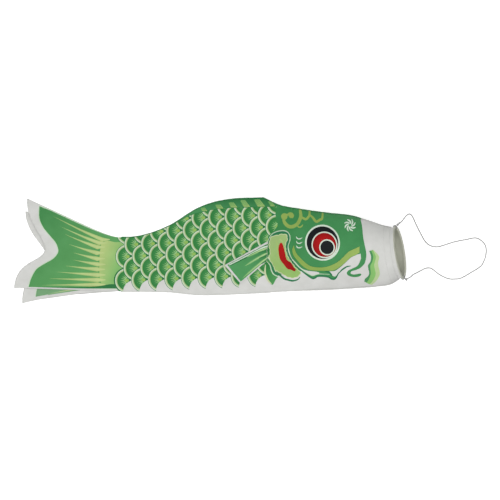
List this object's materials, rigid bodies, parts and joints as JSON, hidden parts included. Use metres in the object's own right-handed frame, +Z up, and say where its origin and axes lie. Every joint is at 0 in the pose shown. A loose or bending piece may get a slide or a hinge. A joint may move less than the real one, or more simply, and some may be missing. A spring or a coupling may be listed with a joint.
{
  "type": "carp streamer",
  "caption": "Fish-shaped cloth wind sock with a wire hoop in its open mouth, free tail flaps and side fins, and a cord bridle.",
  "frame": {"origin": "on the table under the middle of the streamer, bridle left out", "axes": "+X towards the mouth, +Y towards the back of the fish, +Z up from the table; it lies on its left side"},
  "size_m": [0.8504, 0.1913, 0.0939],
  "materials": {
    "right_side_panel": "woven polyester, dye printed, slight sheen",
    "left_side_panel": "woven polyester, dye printed, slight sheen",
    "right_tail_flap": "woven polyester, dye printed, slight sheen",
    "left_tail_flap": "woven polyester, dye printed, slight sheen",
    "right_pectoral_fin": "woven polyester, dye printed, slight sheen",
    "left_pectoral_fin": "woven polyester, dye printed, slight sheen",
    "back_seam": "woven polyester, dye printed, slight sheen",
    "belly_seam": "woven polyester, undyed, slight sheen",
    "mouth_hem": "woven polyester, undyed, slight sheen",
    "mouth_hoop": "drawn wire, satin",
    "hoop_joining_tube": "satin",
    "hem_stitching": "spun polyester thread, matt",
    "right_fin_stitching": "spun polyester thread, matt",
    "left_fin_stitching": "spun polyester thread, matt",
    "back_tie_loop": "braided cord, matt",
    "belly_tie_loop": "braided cord, matt",
    "bridle_cord": "braided cord, matt",
    "back_knot": "braided cord, matt",
    "belly_knot": "braided cord, matt"
  },
  "bodies": {
    "fish_body": {"right_side_panel": "right_side_panel", "left_side_panel": "left_side_panel", "back_seam": "back_seam", "belly_seam": "belly_seam", "mouth_hem": "mouth_hem", "mouth_hoop": "mouth_hoop", "hoop_joining_tube": "hoop_joining_tube", "hem_stitching": "hem_stitching", "right_fin_stitching": "right_fin_stitching", "left_fin_stitching": "left_fin_stitching", "back_tie_loop": "back_tie_loop", "belly_tie_loop": "belly_tie_loop"},
    "right_tail": {"right_tail_flap": "right_tail_flap"},
    "left_tail": {"left_tail_flap": "left_tail_flap"},
    "right_fin": {"right_pectoral_fin": "right_pectoral_fin"},
    "left_fin": {"left_pectoral_fin": "left_pectoral_fin"},
    "bridle": {"bridle_cord": "bridle_cord", "back_knot": "back_knot", "belly_knot": "belly_knot"}
  },
  "joints": [
    {"name": "right_tail_fold", "type": "hinge", "parent": "fish_body", "child": "right_tail", "pos_m": [-0.1616, -0.0255, 0.0024], "axis": [0, 1, 0], "range_deg": [0, 100]},
    {"name": "left_tail_fold", "type": "hinge", "parent": "fish_body", "child": "left_tail", "pos_m": [-0.1616, -0.0255, 0.0004], "axis": [0, 1, 0], "range_deg": [-80, 0]},
    {"name": "right_fin_lift", "type": "hinge", "parent": "fish_body", "child": "right_fin", "pos_m": [0.104, -0.001, 0.01905], "axis": [0, 0.9998, 0.0191], "range_deg": [0, 120]},
    {"name": "left_fin_lift", "type": "hinge", "parent": "fish_body", "child": "left_fin", "pos_m": [0.104, -0.001, 0.0004], "axis": [0, 1, 0], "range_deg": [-120, 0]},
    {"name": "bridle_swing", "type": "hinge", "parent": "fish_body", "child": "bridle", "pos_m": [0.34382, -0.00317, 0.04783], "axis": [0.1564, -0.9877, 0], "range_deg": [-40, 100]}
  ]
}
